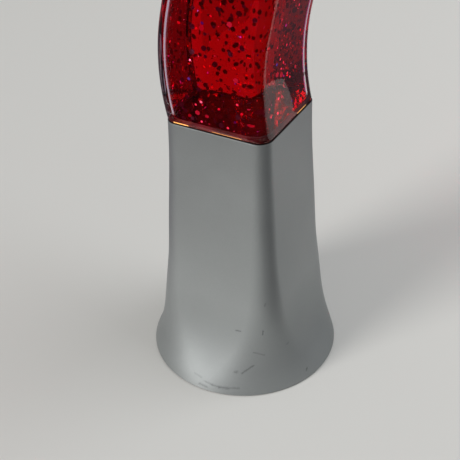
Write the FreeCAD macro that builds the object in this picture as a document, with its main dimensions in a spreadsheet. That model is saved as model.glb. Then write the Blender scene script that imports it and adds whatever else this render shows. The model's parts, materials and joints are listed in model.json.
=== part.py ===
import FreeCAD, Part
import math
import os
import Sketcher

from FreeCAD import Placement, Rotation, Vector

# Glitter lamp: a silver base that turns from round to square, a clear bottle bent in a
# slow S above it, and a cap on top. Millimetres, +Z up, origin on the table under the
# middle of the base. The bottle bends along X and the lead leaves at the rear, +Y.

SIZES = {
    # base outline: height of each level section, how far its faces stand out past the
    # rim's, and its corner radius
    "foot_gap": 0.6, "foot_spread": 25.3, "foot_flat": 0.4,
    "skirt_height": 10.0, "skirt_spread": 20.0, "skirt_corner": 43.0,
    "flare_height": 22.0, "flare_spread": 14.1, "flare_corner": 29.8,
    "shin_height": 40.0, "shin_spread": 9.1, "shin_corner": 18.8,
    "waist_height": 70.0, "waist_spread": 4.8, "waist_corner": 12.2,
    "neck_height": 100.0, "neck_spread": 2.7, "neck_corner": 9.8,
    "collar_height": 128.0, "collar_spread": 1.0, "collar_corner": 8.6,
    "lip_height": 146.0, "lip_spread": 0.25, "lip_corner": 8.0,
    "rim_height": 158.8, "rim_margin": 0.3, "rim_corner": 7.8,
    "shell_wall": 2.4, "rim_round": 0.5,
    # bottom cover, its screws and its feet
    "plate_lift": 0.8, "plate_thickness": 2.6, "plate_play": 0.3,
    "boss_inset": 6.5, "boss_radius": 3.4, "boss_hole_depth": 14.0,
    "screw_radius": 1.45, "screw_head_radius": 2.9, "screw_head_height": 1.7,
    "screw_length": 12.0, "screw_slot_width": 0.8, "screw_slot_depth": 0.8,
    "pad_inset": 11.0, "pad_radius": 6.0, "pad_recess": 0.6,
    "vent_inner": 24.0, "vent_outer": 33.0, "vent_width": 3.0,
    "rib_radius": 36.0, "rib_width": 1.6, "rib_height": 3.0,
    # lead outlet
    "notch_width": 9.0, "notch_rise": 9.0, "grommet_depth": 10.2, "grommet_inset": 0.4,
    "lead_radius": 3.1,
    # lampholder and its strap
    "strap_span": 30.0, "strap_foot": 10.0, "strap_thickness": 1.2, "strap_width": 16.0,
    "strap_height": 24.0, "rivet_radius": 1.6, "rivet_head_radius": 2.8,
    "rivet_head_height": 0.7,
    "nipple_radius": 5.0, "nipple_bore": 3.5, "nipple_length": 14.0, "nipple_drop": 5.4,
    "nut_radius": 8.1, "nut_height": 3.0, "fit_play": 0.05,
    "holder_radius": 13.8, "holder_wall": 1.5, "holder_cap_height": 14.0,
    "holder_cone_height": 8.4, "holder_neck_radius": 8.5, "barrel_height": 30.0,
    "ledge_height": 1.2, "core_height": 6.0, "sleeve_bore": 7.0, "sleeve_wall": 0.4,
    "sleeve_height": 19.0, "contact_reach": 4.4, "contact_width": 4.0, "contact_sheet": 0.4,
    "contact_rise": 2.2, "terminal_offset": 9.8, "terminal_radius": 1.3,
    "terminal_depth": 4.0, "terminal_head_radius": 1.9, "terminal_head_height": 1.0,
    # bulb
    "bulb_play": 0.08, "bulb_cap_wall": 0.3, "bulb_cap_height": 19.0, "bulb_cap_chamfer": 1.3,
    "tip_radius": 2.4, "tip_height": 1.6, "insulator_height": 2.6, "insulator_radius": 5.6,
    "glass_wall": 0.7, "bulb_radius": 19.5, "bulb_length": 66.0, "bulb_dome": 11.0,
    "bulb_swell": 4.0, "glass_inset": 15.0, "stem_radius": 2.0, "stem_flare": 5.0,
    "stem_height": 24.0, "support_radius": 0.4, "support_height": 12.0,
    "support_spread": 1.3, "filament_radius": 0.3,
    # bottle
    "bottle_half": 30.0, "bottle_wall": 3.0, "bottle_corner": 7.2, "bottle_edge": 1.2,
    "bore_corner": 4.2,
    "wave_swing": 3.7, "half_wave": 61.0, "wave_dip": 30.0,
    "floor_rise": 2.0, "floor_drop": 2.5, "spigot_length": 12.0, "spigot_play": 0.3,
    "spigot_wall": 3.0, "spigot_corner": 4.5,
    "lid_depth": 5.0, "lid_rise": 8.0, "filler_radius": 6.0,
    "plug_length": 4.0, "plug_head_radius": 9.5, "plug_head_height": 3.6,
    "plug_slot_width": 1.6, "plug_slot_depth": 1.4, "seal_section": 0.9,
    "air_gap": 7.0, "flake_radius": 1.5, "flake_thickness": 0.16, "flake_margin": 4.0,
    # cap
    "cap_step": 1.0, "cap_mid_height": 20.0, "cap_mid_taper": 1.1, "cap_mid_corner": 8.4,
    "cap_height": 38.0, "cap_top_taper": 3.3, "cap_top_corner": 9.8, "cap_wall": 2.2,
    "cap_round": 2.0,
}

SCREW_COUNT = 4
PAD_COUNT = 4
VENT_COUNT = 12
PAIR = 2
NUT_SIDES = 6
FLAKE_COUNT = 48
FLAKE_SIDES = 6
FLAKE_SINK = 1.4            # over 1, more of the flakes lie low
FLAKE_CORE = 0.25           # share of the reach that stays clear round the middle
FLAKE_STRIDE = 7            # steps round the list between neighbours' spreads
FLAKE_TILTS = (37.0, 23.0)  # degrees that each flake tilts past the last
GOLDEN_TURN = math.pi * (3 - math.sqrt(5))
TOUCH = 0.01                # how near a face lies to a level to count as on it

# points of a sketch element, and the sketch's origin
START, END, CENTRE = 1, 2, 3
ORIGIN = (-1, START)


class Size:
    """A length that carries its number and the sheet expression that gives it."""

    def __init__(self, value, text):
        self.value = value
        self.text = text

    def joined(self, other, sign, value):
        return Size(value, f"({self.text} {sign} {text_of(other)})")

    def __add__(self, other):
        return self.joined(other, "+", self.value + value_of(other))

    def __sub__(self, other):
        return self.joined(other, "-", self.value - value_of(other))

    def __mul__(self, other):
        return self.joined(other, "*", self.value * value_of(other))

    def __truediv__(self, other):
        return self.joined(other, "/", self.value / value_of(other))

    def __neg__(self):
        return Size(-self.value, f"(0 - {self.text})")


def value_of(length):
    return length.value if isinstance(length, Size) else float(length)


def text_of(length):
    return length.text if isinstance(length, Size) else repr(float(length))


def root(length):
    return Size(math.sqrt(length.value), f"sqrt({length.text})")


def size(name):
    return Size(SIZES[name], f"sizes.{name}")


doc = FreeCAD.newDocument("glitter_lamp")
sheet = doc.addObject("Spreadsheet::Sheet", "sizes")
for row, (name, number) in enumerate(SIZES.items(), start=1):
    sheet.set(f"A{row}", name)
    sheet.set(f"B{row}", str(number))
    sheet.setAlias(f"B{row}", name)
doc.recompute()


def bind(thing, prop, length):
    """Set a property from a length and keep it bound to the sheet."""
    thing.setExpression(prop, text_of(length))


def labelled(thing, name):
    thing.Label = name
    return thing


def new_body(name):
    return labelled(doc.addObject("PartDesign::Body", name), name)


def origin_plane(body, role):
    return next(item for item in body.Origin.OriginFeatures if item.Role == role)


def new_sketch(body, name, role="XY_Plane", lift=0.0, turn=0.0):
    """A sketch on one of the body's own planes, lifted along its normal and turned in it."""
    sketch = body.newObject("Sketcher::SketchObject", name)
    sketch.AttachmentSupport = [(origin_plane(body, role), "")]
    sketch.MapMode = "FlatFace"
    offset = Vector(0, 0, value_of(lift))
    sketch.AttachmentOffset = Placement(offset, Rotation(Vector(0, 0, 1), turn))
    bind(sketch, "AttachmentOffset.Base.z", lift)
    return sketch


def pin_point(sketch, geometry, point, across, along):
    """Fix one end or the middle of a sketch element at a named place."""
    for kind, length in (("DistanceX", across), ("DistanceY", along)):
        constraint = Sketcher.Constraint(kind, *ORIGIN, geometry, point, value_of(length))
        index = sketch.addConstraint(constraint)
        bind(sketch, f"Constraints[{index}]", length)


def fix_radius(sketch, geometry, radius):
    index = sketch.addConstraint(Sketcher.Constraint("Radius", geometry, value_of(radius)))
    bind(sketch, f"Constraints[{index}]", radius)


def draw_circle(sketch, radius, across=0.0, along=0.0):
    middle = Vector(value_of(across), value_of(along), 0)
    ring = sketch.addGeometry(Part.Circle(middle, Vector(0, 0, 1), value_of(radius)), False)
    pin_point(sketch, ring, CENTRE, across, along)
    fix_radius(sketch, ring, radius)


def draw_outline(sketch, corners, bends=None):
    """A closed outline through corners given as (across, along). A side is straight
    unless bends gives it a (point that it passes, radius) pair."""
    bends = bends or {}
    places = [Vector(value_of(a), value_of(b), 0) for a, b in corners]
    count = len(places)
    ends = []
    for i, start in enumerate(places):
        stop = places[(i + 1) % count]
        if i in bends:
            passed, radius = bends[i]
            side = sketch.addGeometry(Part.Arc(start, passed, stop), False)
            fix_radius(sketch, side, radius)
            flipped = sketch.getPoint(side, START).distanceToPoint(start) > TOUCH
        else:
            side = sketch.addGeometry(Part.LineSegment(start, stop), False)
            flipped = False
        ends.append((side, END, START) if flipped else (side, START, END))
    for i, (side, first, last) in enumerate(ends):
        following, opening, _ = ends[(i + 1) % count]
        sketch.addConstraint(Sketcher.Constraint("Coincident", side, last, following, opening))
    for (side, first, _), (across, along) in zip(ends, corners):
        pin_point(sketch, side, first, across, along)


def draw_rectangle(sketch, low, high):
    (left, bottom), (right, top) = low, high
    draw_outline(sketch, [(left, bottom), (right, bottom), (right, top), (left, top)])


def draw_rounded_square(sketch, half, corner):
    """A square of straight sides and quarter-round corners, centred on the origin."""
    quarter = math.pi / 2
    straight = half - corner
    arcs = []
    for i, (sx, sy) in enumerate(((1, 1), (-1, 1), (-1, -1), (1, -1))):
        middle = Vector(sx * straight.value, sy * straight.value, 0)
        ring = Part.Circle(middle, Vector(0, 0, 1), corner.value)
        arc = sketch.addGeometry(Part.ArcOfCircle(ring, i * quarter, (i + 1) * quarter), False)
        pin_point(sketch, arc, CENTRE, straight * sx, straight * sy)
        arcs.append(arc)
    for i, arc in enumerate(arcs):
        following = arcs[(i + 1) % len(arcs)]
        start = sketch.getPoint(arc, END)
        stop = sketch.getPoint(following, START)
        side = sketch.addGeometry(Part.LineSegment(start, stop), False)
        sketch.addConstraint(Sketcher.Constraint("Tangent", arc, END, side, START))
        sketch.addConstraint(Sketcher.Constraint("Tangent", side, END, following, START))
    fix_radius(sketch, arcs[0], corner)


def pad(body, name, sketch, length, middle=False):
    feature = body.newObject("PartDesign::Pad", name)
    feature.Profile = sketch
    feature.Midplane = middle
    bind(feature, "Length", length)
    return feature


def pocket(body, name, sketch, length, reverse=False):
    """Cut a sketch away, against its normal, or along it when reversed."""
    feature = body.newObject("PartDesign::Pocket", name)
    feature.Profile = sketch
    feature.Reversed = reverse
    bind(feature, "Length", length)
    return feature


def around(body, name, features, count):
    """Repeat features evenly round the Z axis."""
    pattern = body.newObject("PartDesign::PolarPattern", name)
    pattern.Originals = features
    pattern.Axis = (features[0].Profile[0], ["N_Axis"])
    pattern.Angle = 360
    pattern.Occurrences = count
    body.Tip = pattern


def loft(body, name, sections, kind="PartDesign::AdditiveLoft"):
    feature = body.newObject(kind, name)
    feature.Profile = sections[0]
    feature.Sections = sections[1:]


def turned_piece(name, corners, bends=None):
    """Spin a half outline, given as (radius, height), once round the Z axis."""
    body = new_body(name)
    outline = new_sketch(body, f"{name}_outline", "XZ_Plane")
    draw_outline(outline, corners, bends)
    feature = body.newObject("PartDesign::Revolution", f"{name}_turn")
    feature.Profile = outline
    feature.ReferenceAxis = (outline, ["V_Axis"])
    feature.Angle = 360
    return body


def fillet_edges(body, name, radius, test):
    """Round the edges of the body's last feature whose box passes a test."""
    doc.recompute()
    base = body.Tip
    edges = []
    for number, edge in enumerate(base.Shape.Edges, start=1):
        if test(edge.BoundBox):
            edges.append(f"Edge{number}")
    rounded = body.newObject("PartDesign::Fillet", name)
    rounded.Base = (base, edges)
    bind(rounded, "Radius", radius)


def upright(box):
    """True for an edge that climbs and doesn't run along Y."""
    return box.ZLength > TOUCH and box.YLength < TOUCH


# heights and widths that several pieces share
ZERO = Size(0.0, "0")
fit_play = size("fit_play")
foot_gap = size("foot_gap")
rim_height = size("rim_height")
rim_half = size("bottle_half") + size("rim_margin")
foot_half = rim_half + size("foot_spread")
shell_wall = size("shell_wall")

# level sections of the base from the table up: height, half width, corner radius
stations = {"foot": (foot_gap, foot_half, foot_half - size("foot_flat"))}
for level in ("skirt", "flare", "shin", "waist", "neck", "collar", "lip"):
    half_width = rim_half + size(f"{level}_spread")
    stations[level] = (size(f"{level}_height"), half_width, size(f"{level}_corner"))
stations["rim"] = (rim_height, rim_half, size("rim_corner"))


def wall_reach_at(height):
    """How far the middle of a face of the base stands out, at a height up to the flare."""
    below_skirt = height.value < SIZES["skirt_height"]
    low, low_half, _ = stations["foot" if below_skirt else "skirt"]
    high, high_half, _ = stations["skirt" if below_skirt else "flare"]
    slope = (low_half - high_half) / (high - low)
    return low_half - slope * (height - low)


plate_bottom = foot_gap + size("plate_lift")
plate_top = plate_bottom + size("plate_thickness")
plate_radius = wall_reach_at(plate_top) - shell_wall - size("plate_play")
boss_circle = plate_radius - size("boss_inset")
rivet_place = (size("strap_span") + size("strap_foot")) / 2
notch_half = size("notch_width") / 2
notch_top = plate_top + size("notch_rise")
bore_half = size("bottle_half") - size("bottle_wall")
spigot_half = bore_half - fit_play
opening_half = spigot_half + size("spigot_play")
opening_corner = size("spigot_corner") + size("spigot_play")
bottle_height = (size("wave_dip") + size("half_wave")) * 2
bottle_top = rim_height + bottle_height

# lampholder and bulb, from the strap up
strap_top = plate_top + size("strap_height")
barrel_bottom = strap_top + size("holder_cap_height")
barrel_top = barrel_bottom + size("barrel_height")
ledge_top = barrel_bottom + size("ledge_height")
core_top = ledge_top + size("core_height")
sleeve_radius = size("sleeve_bore") + size("sleeve_wall")
bulb_bottom = core_top + size("contact_rise") + fit_play
tip_top = bulb_bottom + size("tip_height")
bulb_cap_bottom = tip_top + size("insulator_height")
bulb_cap_top = bulb_cap_bottom + size("bulb_cap_height")
bulb_cap_radius = size("sleeve_bore") - size("bulb_play")
bulb_top = bulb_bottom + size("bulb_length")
glass_neck = bulb_cap_radius - size("bulb_cap_wall") - fit_play
glass_bottom = bulb_cap_top - size("glass_inset")
stem_top = glass_bottom + size("stem_height")


def wave_radius():
    """Radius of the arcs that make the wave: each half a wave long and one swing high."""
    quarter = size("half_wave") / 2
    swing = size("wave_swing")
    return (quarter * quarter + swing * swing) / (swing * 2)


def wave_joints():
    first = size("wave_dip") + size("half_wave") / 2
    return [first, first + size("half_wave")]


def wave_bulge(rise):
    """How far an arc of the wave stands off its ends' line, at a height off its peak."""
    radius = wave_radius()
    return root(radius * radius - rise * rise) - radius + size("wave_swing")


def wave_shift(height):
    """Sideways place of the bottle's middle at a height above the rim: none at its ends."""
    number = sum(1 for joint in wave_joints() if joint.value <= value_of(height))
    side = -1 if number % 2 == 0 else 1
    peak = size("wave_dip") + size("half_wave") * number
    return wave_bulge(size("wave_dip")) + wave_bulge(peak - height) * side


def draw_wave(sketch, half, low, high):
    """The bottle's side view between two heights above the rim, with arcs for its sides."""
    steps = [low] + [j for j in wave_joints() if low.value < j.value < high.value] + [high]
    right = [(wave_shift(step) + half, rim_height + step) for step in steps]
    left = [(wave_shift(step) - half, rim_height + step) for step in steps]
    corners = right + left[::-1]
    bends = {}
    for i, (start, stop) in enumerate(zip(steps, steps[1:])):
        middle = (start.value + stop.value) / 2
        shift = wave_shift(Size(middle, repr(middle))).value
        height = rim_height.value + middle
        bends[i] = (Vector(shift + half.value, height, 0), wave_radius())
        bends[len(corners) - 2 - i] = (Vector(shift - half.value, height, 0), wave_radius())
    draw_outline(sketch, corners, bends)


def build_base_shell():
    body = new_body("base_shell")
    outside = []
    inside = []
    for name, (height, half, corner) in stations.items():
        outer = new_sketch(body, f"{name}_outer", lift=height)
        draw_rounded_square(outer, half, corner)
        outside.append(outer)
        inner = new_sketch(body, f"{name}_inner", lift=height)
        if name == "rim":
            draw_rounded_square(inner, opening_half, opening_corner)
        else:
            draw_rounded_square(inner, half - shell_wall, corner - shell_wall)
        inside.append(inner)
    loft(body, "shell_outside", outside)
    loft(body, "shell_inside", inside, "PartDesign::SubtractiveLoft")

    # screw bosses under the four corners, each reaching half way into the wall
    flare_height, flare_half, flare_corner = stations["flare"]
    wall_reach = (flare_half - flare_corner) * math.sqrt(2) + flare_corner - shell_wall / 2
    boss_radius = size("boss_radius")
    boss_outline = new_sketch(body, "boss_outline", lift=plate_top, turn=45)
    low = (boss_circle - boss_radius, -boss_radius)
    draw_rectangle(boss_outline, low, (wall_reach, boss_radius))
    boss = pad(body, "boss", boss_outline, flare_height - plate_top)
    around(body, "bosses", [boss], SCREW_COUNT)
    hole_outline = new_sketch(body, "boss_hole_outline", lift=plate_top, turn=45)
    draw_circle(hole_outline, size("screw_radius") + fit_play, boss_circle)
    hole = pocket(body, "boss_hole", hole_outline, size("boss_hole_depth"), reverse=True)
    around(body, "boss_holes", [hole], SCREW_COUNT)

    # notch in the rear of the foot for the lead
    notch_outline = new_sketch(body, "notch_outline", "XZ_Plane")
    draw_rectangle(notch_outline, (-notch_half, ZERO), (notch_half, notch_top))
    pocket(body, "notch", notch_outline, foot_half + shell_wall)
    fillet_edges(body, "rim_edges", size("rim_round"),
                 lambda box: box.ZMin > rim_height.value - TOUCH)


def build_base_plate():
    body = new_body("base_plate")
    disc = new_sketch(body, "disc_outline", lift=plate_bottom)
    draw_circle(disc, plate_radius)
    pad(body, "disc", disc, size("plate_thickness"))
    tab = new_sketch(body, "tab_outline", lift=plate_bottom)
    low = (fit_play - notch_half, plate_radius / 2)
    draw_rectangle(tab, low, (notch_half - fit_play, foot_half - size("plate_play")))
    pad(body, "tab", tab, size("plate_thickness"))
    rib = new_sketch(body, "rib_outline", lift=plate_top)
    draw_circle(rib, size("rib_radius"))
    draw_circle(rib, size("rib_radius") - size("rib_width"))
    pad(body, "rib", rib, size("rib_height"))

    hole_outline = new_sketch(body, "hole_outline", lift=plate_top, turn=45)
    draw_circle(hole_outline, size("screw_radius") + fit_play, boss_circle)
    hole = pocket(body, "hole", hole_outline, size("plate_thickness"))
    around(body, "holes", [hole], SCREW_COUNT)
    sink_outline = new_sketch(body, "sink_outline", lift=plate_bottom, turn=45)
    draw_circle(sink_outline, size("screw_head_radius") + fit_play, boss_circle)
    sink = pocket(body, "sink", sink_outline, size("screw_head_height"), reverse=True)
    around(body, "sinks", [sink], SCREW_COUNT)

    recess_outline = new_sketch(body, "recess_outline", lift=plate_bottom)
    pad_circle = plate_radius - size("pad_inset")
    draw_circle(recess_outline, size("pad_radius") + fit_play, pad_circle)
    recess = pocket(body, "recess", recess_outline, size("pad_recess"), reverse=True)
    around(body, "recesses", [recess], PAD_COUNT)

    rivet_outline = new_sketch(body, "rivet_outline", lift=plate_top)
    draw_circle(rivet_outline, size("rivet_radius") + fit_play, rivet_place)
    draw_circle(rivet_outline, size("rivet_radius") + fit_play, -rivet_place)
    pocket(body, "rivet_holes", rivet_outline, size("plate_thickness"))

    vent_outline = new_sketch(body, "vent_outline", lift=plate_top, turn=180 / VENT_COUNT)
    half_vent = size("vent_width") / 2
    draw_rectangle(vent_outline, (size("vent_inner"), -half_vent), (size("vent_outer"), half_vent))
    vent = pocket(body, "vent", vent_outline, size("plate_thickness"))
    around(body, "vents", [vent], VENT_COUNT)


def build_base_screws():
    body = new_body("base_screws")
    shank_outline = new_sketch(body, "shank_outline", lift=plate_bottom, turn=45)
    draw_circle(shank_outline, size("screw_radius"), boss_circle)
    shank = pad(body, "shank", shank_outline, size("screw_length"))
    head_outline = new_sketch(body, "head_outline", lift=plate_bottom, turn=45)
    draw_circle(head_outline, size("screw_head_radius"), boss_circle)
    head = pad(body, "head", head_outline, size("screw_head_height") - fit_play)
    slot_outline = new_sketch(body, "slot_outline", lift=plate_bottom, turn=45)
    half_slot = size("screw_slot_width") / 2
    reach = size("screw_head_radius")
    low = (boss_circle - reach, -half_slot)
    draw_rectangle(slot_outline, low, (boss_circle + reach, half_slot))
    slot = pocket(body, "slot", slot_outline, size("screw_slot_depth"), reverse=True)
    around(body, "screws", [shank, head, slot], SCREW_COUNT)


def build_rubber_feet():
    body = new_body("rubber_feet")
    outline = new_sketch(body, "foot_pad_outline")
    draw_circle(outline, size("pad_radius"), plate_radius - size("pad_inset"))
    foot_pad = pad(body, "foot_pad", outline, plate_bottom + size("pad_recess"))
    around(body, "foot_pads", [foot_pad], PAD_COUNT)


def build_cord_grommet():
    body = new_body("cord_grommet")
    side = new_sketch(body, "grommet_side", "YZ_Plane")
    skirt_height, skirt_half, _ = stations["skirt"]
    front = skirt_half - size("grommet_depth")
    top = notch_top - fit_play
    inset = size("grommet_inset")
    draw_outline(side, [
        (front, plate_top), (wall_reach_at(plate_top) - inset, plate_top),
        (skirt_half - inset, skirt_height), (wall_reach_at(top) - inset, top), (front, top)])
    pad(body, "block", side, (notch_half - fit_play) * 2, middle=True)
    bore_outline = new_sketch(body, "bore_outline", "XZ_Plane")
    draw_circle(bore_outline, size("lead_radius"), 0.0, plate_top + size("notch_rise") / 2)
    pocket(body, "bore", bore_outline, foot_half)


def build_strap():
    body = new_body("holder_bracket")
    side = new_sketch(body, "strap_outline", "XZ_Plane")
    sheet_metal = size("strap_thickness")
    span = size("strap_span") / 2
    reach = span + size("strap_foot")
    low = plate_top
    right = [
        (span - sheet_metal, strap_top - sheet_metal),
        (span - sheet_metal, low),
        (reach, low),
        (reach, low + sheet_metal),
        (span, low + sheet_metal),
        (span, strap_top),
    ]
    left = [(-across, along) for across, along in right[::-1]]
    draw_outline(side, right + left)
    pad(body, "strap", side, size("strap_width"), middle=True)
    nipple_hole = new_sketch(body, "nipple_hole_outline", lift=strap_top)
    draw_circle(nipple_hole, size("nipple_radius") + fit_play)
    pocket(body, "nipple_hole", nipple_hole, sheet_metal)
    rivet_hole = new_sketch(body, "strap_rivet_outline", lift=low + sheet_metal)
    draw_circle(rivet_hole, size("rivet_radius") + fit_play, rivet_place)
    draw_circle(rivet_hole, size("rivet_radius") + fit_play, -rivet_place)
    pocket(body, "strap_rivet_holes", rivet_hole, sheet_metal)


def build_rivets():
    body = new_body("bracket_rivets")
    grip = size("plate_thickness") + size("strap_thickness")
    head_height = size("rivet_head_height")
    levels = [
        ("rivet_shank", plate_bottom, size("rivet_radius"), grip),
        ("rivet_under", plate_bottom - head_height, size("rivet_head_radius"), head_height),
        ("rivet_over", plate_bottom + grip, size("rivet_head_radius"), head_height),
    ]
    features = []
    for name, lift, radius, length in levels:
        outline = new_sketch(body, f"{name}_outline", lift=lift)
        draw_circle(outline, radius, rivet_place)
        features.append(pad(body, name, outline, length))
    around(body, "rivets", features, PAIR)


def build_nipple_and_nut():
    radius = size("nipple_radius")
    bore = size("nipple_bore")
    low = strap_top - size("nipple_drop")
    high = low + size("nipple_length")
    turned_piece("holder_nipple", [(bore, low), (radius, low), (radius, high), (bore, high)])

    nut = new_body("holder_nut")
    nut_bottom = strap_top - size("strap_thickness") - size("nut_height")
    hexagon = new_sketch(nut, "hexagon", lift=nut_bottom)
    turns = [2 * math.pi * i / NUT_SIDES for i in range(NUT_SIDES)]
    reach = size("nut_radius")
    draw_outline(hexagon, [(reach * math.cos(turn), reach * math.sin(turn)) for turn in turns])
    draw_circle(hexagon, radius + fit_play)
    pad(nut, "nut", hexagon, size("nut_height"))


def build_holder_housing():
    """The lampholder's lower cap, which sits on the strap, and its sleeve."""
    radius = size("holder_radius")
    wall = size("holder_wall")
    neck = size("holder_neck_radius")
    hole = size("nipple_radius") + fit_play
    cone_top = strap_top + size("holder_cone_height")
    turned_piece("holder_cap", [
        (hole, strap_top), (neck, strap_top), (neck, strap_top + wall * 2),
        (radius, cone_top), (radius, barrel_bottom), (radius - wall, barrel_bottom),
        (radius - wall, cone_top + wall / 2), (size("nipple_radius") + wall, strap_top + wall * 3),
        (hole, strap_top + wall * 3)])
    lip = sleeve_radius + fit_play
    turned_piece("holder_barrel", [
        (radius - wall * 2, barrel_bottom), (radius, barrel_bottom), (radius, barrel_top),
        (lip, barrel_top), (lip, barrel_top - wall), (radius - wall, barrel_top - wall),
        (radius - wall, ledge_top), (radius - wall * 2, ledge_top)])


def build_holder_core():
    """The insulating disc on the barrel's ledge, with holes for the two terminals."""
    reach = size("holder_radius") - size("holder_wall") - fit_play
    core = turned_piece("holder_core", [
        (ZERO, ledge_top), (reach, ledge_top), (reach, core_top), (ZERO, core_top)])
    offset = size("terminal_offset")
    holes = new_sketch(core, "terminal_holes_outline", lift=core_top)
    draw_circle(holes, size("terminal_radius") + fit_play, 0.0, offset)
    draw_circle(holes, size("terminal_radius") + fit_play, 0.0, -offset)
    pocket(core, "terminal_holes", holes, size("terminal_depth"))


def build_holder_contacts():
    bore = size("sleeve_bore")
    sleeve_top = core_top + size("sleeve_height")
    turned_piece("holder_screw_shell", [
        (bore, core_top), (sleeve_radius, core_top), (sleeve_radius, sleeve_top),
        (bore, sleeve_top)])

    contact = new_body("holder_centre_contact")
    strip = new_sketch(contact, "strip_outline", "XZ_Plane")
    reach = size("contact_reach")
    thin = size("contact_sheet")
    rise = core_top + size("contact_rise")
    tip = size("tip_radius")
    draw_outline(strip, [
        (-reach, core_top), (reach, core_top), (tip, rise), (-tip, rise),
        (-tip, rise - thin), (tip - thin, rise - thin), (reach - thin * 2, core_top + thin),
        (-reach, core_top + thin)])
    pad(contact, "strip", strip, size("contact_width"), middle=True)


def build_terminals():
    body = new_body("terminal_screws")
    depth = size("terminal_depth")
    levels = [
        ("terminal_shank", core_top - depth, size("terminal_radius"), depth),
        ("terminal_head", core_top, size("terminal_head_radius"), size("terminal_head_height")),
    ]
    features = []
    for name, lift, radius, length in levels:
        outline = new_sketch(body, f"{name}_outline", lift=lift)
        draw_circle(outline, radius, 0.0, size("terminal_offset"))
        features.append(pad(body, name, outline, length))
    around(body, "terminal_pair", features, PAIR)


def sagitta_radius(half_chord, rise):
    return (half_chord * half_chord + rise * rise) / (rise * 2)


def bulge_point(start, stop, rise):
    """The point that a bulging side passes: the chord's middle, moved off to the right."""
    (across, along), (across_end, along_end) = start, stop
    run = Vector(value_of(across_end) - value_of(across), value_of(along_end) - value_of(along), 0)
    middle = Vector(value_of(across), value_of(along), 0) + run * 0.5
    sideways = Vector(run.y, -run.x, 0).normalize()
    return middle + sideways * value_of(rise)


def dome_point(across, top, radius):
    """The point of a dome over a distance from its axis."""
    drop = radius.value - math.sqrt(radius.value ** 2 - across ** 2)
    return Vector(across, value_of(top) - drop, 0)


def build_bulb_base():
    """The bulb's tip contact, the dark ring round it and the brass screw cap."""
    tip = size("tip_radius")
    turned_piece("bulb_tip", [
        (ZERO, bulb_bottom), (tip / 2, bulb_bottom),
        (tip, bulb_bottom + size("tip_height") / 2), (tip, tip_top), (ZERO, tip_top)])
    ring = size("insulator_radius")
    turned_piece("bulb_insulator", [
        (ZERO, tip_top), (tip + fit_play, tip_top), (ring, bulb_cap_bottom),
        (ZERO, bulb_cap_bottom)])
    wall = size("bulb_cap_wall")
    chamfer_top = bulb_cap_bottom + size("bulb_cap_chamfer")
    turned_piece("bulb_cap", [
        (ring - wall * 2, bulb_cap_bottom), (ring, bulb_cap_bottom),
        (bulb_cap_radius, chamfer_top), (bulb_cap_radius, bulb_cap_top),
        (bulb_cap_radius - wall, bulb_cap_top), (bulb_cap_radius - wall, chamfer_top)])


def build_bulb_glass():
    """The envelope: a straight neck, a swelling reflector and a domed front."""
    wide = size("bulb_radius")
    wall = size("glass_wall")
    dome = size("bulb_dome")
    swell = size("bulb_swell")
    shoulder = bulb_top - dome
    neck_top = bulb_cap_top + wall
    outer_neck = (glass_neck, neck_top)
    outer_wide = (wide, shoulder)
    inner_neck = (glass_neck - wall, neck_top)
    inner_wide = (wide - wall, shoulder)
    corners = [
        (glass_neck, glass_bottom), outer_neck, outer_wide, (ZERO, bulb_top),
        (ZERO, bulb_top - wall), inner_wide, inner_neck, (glass_neck - wall, glass_bottom)]
    rise = shoulder - neck_top
    run = wide - glass_neck
    swell_radius = sagitta_radius(root(rise * rise + run * run) / 2, swell)
    outer_dome = sagitta_radius(wide, dome)
    inner_dome = sagitta_radius(wide - wall, dome - wall)
    outer_middle = value_of(wide) / 2
    inner_middle = value_of(wide - wall) / 2
    turned_piece("bulb_glass", corners, bends={
        1: (bulge_point(outer_neck, outer_wide, swell), swell_radius),
        2: (dome_point(outer_middle, bulb_top, outer_dome), outer_dome),
        4: (dome_point(inner_middle, bulb_top - wall, inner_dome), inner_dome),
        5: (bulge_point(inner_neck, inner_wide, swell), swell_radius),
    })


def build_bulb_mount():
    """What the envelope holds: the glass stem, two supports and the filament."""
    stem = size("stem_radius")
    rim = glass_neck - size("glass_wall") - fit_play
    turned_piece("bulb_stem", [
        (ZERO, glass_bottom), (rim, glass_bottom), (rim, glass_bottom + stem / 2),
        (stem, glass_bottom + size("stem_flare")), (stem, stem_top), (ZERO, stem_top)])

    supports = new_body("bulb_lead_wires")
    outline = new_sketch(supports, "support_outline", lift=stem_top)
    draw_circle(outline, size("support_radius"), size("support_spread"))
    support = pad(supports, "support", outline, size("support_height"))
    around(supports, "support_pair", [support], PAIR)

    filament = labelled(doc.addObject("Part::Torus", "bulb_filament"), "bulb_filament")
    bind(filament, "Radius1", size("support_spread"))
    bind(filament, "Radius2", size("filament_radius"))
    filament.Angle3 = 180
    filament.Placement = Placement(Vector(0, 0, 0), Rotation(Vector(1, 0, 0), 90))
    bind(filament, "Placement.Base.z", stem_top + size("support_height"))


def build_tube():
    walls = new_body("bottle_block")
    outside = new_sketch(walls, "outside_outline", "XZ_Plane")
    draw_wave(outside, size("bottle_half"), ZERO, bottle_height)
    pad(walls, "outside", outside, size("bottle_half") * 2, middle=True)
    fillet_edges(walls, "corner_edges", size("bottle_corner"), upright)
    low = rim_height.value + TOUCH
    high = bottle_top.value - TOUCH
    fillet_edges(walls, "end_edges", size("bottle_edge"),
                 lambda box: box.ZMax < low or box.ZMin > high)
    bore = new_body("bottle_bore")
    bore_outline = new_sketch(bore, "bore_side", "XZ_Plane")
    draw_wave(bore_outline, bore_half, ZERO, bottle_height)
    pad(bore, "bore_block", bore_outline, bore_half * 2, middle=True)
    fillet_edges(bore, "bore_edges", size("bore_corner"), upright)
    return walls, bore


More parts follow.
